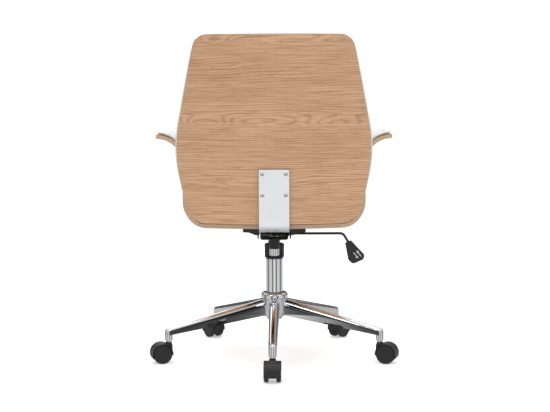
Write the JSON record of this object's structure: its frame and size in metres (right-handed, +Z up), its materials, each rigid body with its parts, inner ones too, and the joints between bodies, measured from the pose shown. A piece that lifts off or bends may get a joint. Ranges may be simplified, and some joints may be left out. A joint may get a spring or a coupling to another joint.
{
  "type": "upholstered bentwood office swivel chair",
  "caption": "Low-back office swivel chair with bent oak plywood back, seat shell and flared arms, white padding and a chromed caster base.",
  "frame": {"origin": "on the floor, under the axis of the column", "axes": "+Z up along the column; the sitter faces -Y; +X is the sitter's left"},
  "size_m": [0.6983, 0.6678, 0.903],
  "materials": {
    "chrome": "mirror polished",
    "steel": "zinc plated",
    "cylinder_steel": "ground and polished",
    "bracket_chrome": "chrome plated flat bar",
    "black_steel": "black powder coat",
    "black_plastic": "fine moulded grain",
    "bump_rubber": "matt",
    "oak_ply": "oak veneer under satin lacquer",
    "white_leather": "white coated upholstery",
    "caster_grey": "moulded nylon",
    "wheel_black": "moulded nylon"
  },
  "bodies": {
    "base": {"base_hub": "chrome", "base_leg_1": "chrome", "base_leg_2": "chrome", "base_leg_3": "chrome", "base_leg_4": "chrome", "base_leg_5": "chrome", "caster_sleeves": "steel", "column_tube": "chrome", "column_bush": "black_plastic", "thrust_bearing": "steel"},
    "gas_rod": {"piston_rod": "steel", "rod_clip": "steel", "rod_washer": "steel", "bump_stop": "bump_rubber", "piston_head": "steel"},
    "lift": {"pressure_tube": "cylinder_steel", "mech_socket": "black_steel", "mech_housing": "black_steel", "tilt_axle": "steel", "tension_spring": "black_steel"},
    "valve": {"valve_pin": "steel"},
    "lever_rocker": {"lever_bush": "black_plastic"},
    "lever": {"lever_rod": "black_steel", "lever_handle": "black_plastic"},
    "seat": {"seat_plate": "black_steel", "tilt_bushes": "black_plastic", "tension_bolt": "steel", "seat_shell": "oak_ply", "seat_cushion": "white_leather", "back_shell": "oak_ply", "back_cushion": "white_leather", "back_bracket": "bracket_chrome", "bracket_screws": "steel", "seat_bolts": "steel", "arm_left": "oak_ply", "arm_right": "oak_ply", "arm_pad_left": "white_leather", "arm_pad_right": "white_leather"},
    "knob": {"tension_knob": "black_plastic"},
    "caster_1": {"caster_1_hood": "caster_grey", "caster_1_pins": "steel"},
    "caster_1_wheel_a": {"caster_1_wheel_a": "wheel_black"},
    "caster_1_wheel_b": {"caster_1_wheel_b": "wheel_black"},
    "caster_2": {"caster_2_hood": "caster_grey", "caster_2_pins": "steel"},
    "caster_2_wheel_a": {"caster_2_wheel_a": "wheel_black"},
    "caster_2_wheel_b": {"caster_2_wheel_b": "wheel_black"},
    "caster_3": {"caster_3_hood": "caster_grey", "caster_3_pins": "steel"},
    "caster_3_wheel_a": {"caster_3_wheel_a": "wheel_black"},
    "caster_3_wheel_b": {"caster_3_wheel_b": "wheel_black"},
    "caster_4": {"caster_4_hood": "caster_grey", "caster_4_pins": "steel"},
    "caster_4_wheel_a": {"caster_4_wheel_a": "wheel_black"},
    "caster_4_wheel_b": {"caster_4_wheel_b": "wheel_black"},
    "caster_5": {"caster_5_hood": "caster_grey", "caster_5_pins": "steel"},
    "caster_5_wheel_a": {"caster_5_wheel_a": "wheel_black"},
    "caster_5_wheel_b": {"caster_5_wheel_b": "wheel_black"}
  },
  "joints": [
    {"name": "seat_swivel", "type": "hinge", "parent": "base", "child": "gas_rod", "pos_m": [0, 0, 0.2], "axis": [0, 0, 1], "continuous": true},
    {"name": "height_slide", "type": "slide", "parent": "gas_rod", "child": "lift", "axis": [0, 0, 1], "range_m": [0, 0.085]},
    {"name": "valve_press", "type": "slide", "parent": "lift", "child": "valve", "axis": [0, 0, -1], "range_m": [0, 0.0028]},
    {"name": "lever_lift", "type": "hinge", "parent": "lift", "child": "lever_rocker", "pos_m": [-0.038, 0, 0.3512], "axis": [0, 1, 0], "range_deg": [0, 4], "stiffness_Nm_per_rad": 2, "springref_deg": -6.88},
    {"name": "lever_push", "type": "slide", "parent": "lever_rocker", "child": "lever", "axis": [1, 0, 0], "range_m": [0, 0.012]},
    {"name": "seat_tilt", "type": "hinge", "parent": "lift", "child": "seat", "pos_m": [0, -0.03, 0.352], "axis": [-1, 0, 0], "range_deg": [0, 14], "stiffness_Nm_per_rad": 160, "springref_deg": -14.32, "deforming": ["tension_spring"]},
    {"name": "knob_turn", "type": "hinge", "parent": "seat", "child": "knob", "pos_m": [0, -0.09, 0.29], "axis": [0, 0, 1], "range_deg": [0, 720]},
    {"name": "caster_1_swivel", "type": "hinge", "parent": "base", "child": "caster_1", "pos_m": [0.0054, 0.30945, 0.06], "axis": [0, 0, 1], "continuous": true},
    {"name": "caster_1_roll_a", "type": "hinge", "parent": "caster_1", "child": "caster_1_wheel_a", "pos_m": [0.00577, 0.33045, 0.027], "axis": [-0.9998, 0.0175, 0], "continuous": true},
    {"name": "caster_1_roll_b", "type": "hinge", "parent": "caster_1", "child": "caster_1_wheel_b", "pos_m": [0.00577, 0.33045, 0.027], "axis": [-0.9998, 0.0175, 0], "continuous": true},
    {"name": "caster_2_swivel", "type": "hinge", "parent": "base", "child": "caster_2", "pos_m": [-0.29264, 0.10076, 0.06], "axis": [0, 0, 1], "continuous": true},
    {"name": "caster_2_roll_a", "type": "hinge", "parent": "caster_2", "child": "caster_2_wheel_a", "pos_m": [-0.31249, 0.1076, 0.027], "axis": [-0.3256, -0.9455, 0], "continuous": true},
    {"name": "caster_2_roll_b", "type": "hinge", "parent": "caster_2", "child": "caster_2_wheel_b", "pos_m": [-0.31249, 0.1076, 0.027], "axis": [-0.3256, -0.9455, 0], "continuous": true},
    {"name": "caster_3_swivel", "type": "hinge", "parent": "base", "child": "caster_3", "pos_m": [-0.18626, -0.24718, 0.06], "axis": [0, 0, 1], "continuous": true},
    {"name": "caster_3_roll_a", "type": "hinge", "parent": "caster_3", "child": "caster_3_wheel_a", "pos_m": [-0.1989, -0.26395, 0.027], "axis": [0.7986, -0.6018, 0], "continuous": true},
    {"name": "caster_3_roll_b", "type": "hinge", "parent": "caster_3", "child": "caster_3_wheel_b", "pos_m": [-0.1989, -0.26395, 0.027], "axis": [0.7986, -0.6018, 0], "continuous": true},
    {"name": "caster_4_swivel", "type": "hinge", "parent": "base", "child": "caster_4", "pos_m": [0.17752, -0.25353, 0.06], "axis": [0, 0, 1], "continuous": true},
    {"name": "caster_4_roll_a", "type": "hinge", "parent": "caster_4", "child": "caster_4_wheel_a", "pos_m": [0.18957, -0.27073, 0.027], "axis": [0.8192, 0.5736, 0], "continuous": true},
    {"name": "caster_4_roll_b", "type": "hinge", "parent": "caster_4", "child": "caster_4_wheel_b", "pos_m": [0.18957, -0.27073, 0.027], "axis": [0.8192, 0.5736, 0], "continuous": true},
    {"name": "caster_5_swivel", "type": "hinge", "parent": "base", "child": "caster_5", "pos_m": [0.29598, 0.09049, 0.06], "axis": [0, 0, 1], "continuous": true},
    {"name": "caster_5_roll_a", "type": "hinge", "parent": "caster_5", "child": "caster_5_wheel_a", "pos_m": [0.31606, 0.09663, 0.027], "axis": [-0.2924, 0.9563, 0], "continuous": true},
    {"name": "caster_5_roll_b", "type": "hinge", "parent": "caster_5", "child": "caster_5_wheel_b", "pos_m": [0.31606, 0.09663, 0.027], "axis": [-0.2924, 0.9563, 0], "continuous": true}
  ],
  "couplings": [
    {"joint": "valve_press", "follows": "lever_lift", "m_per_rad": 0.038}
  ]
}
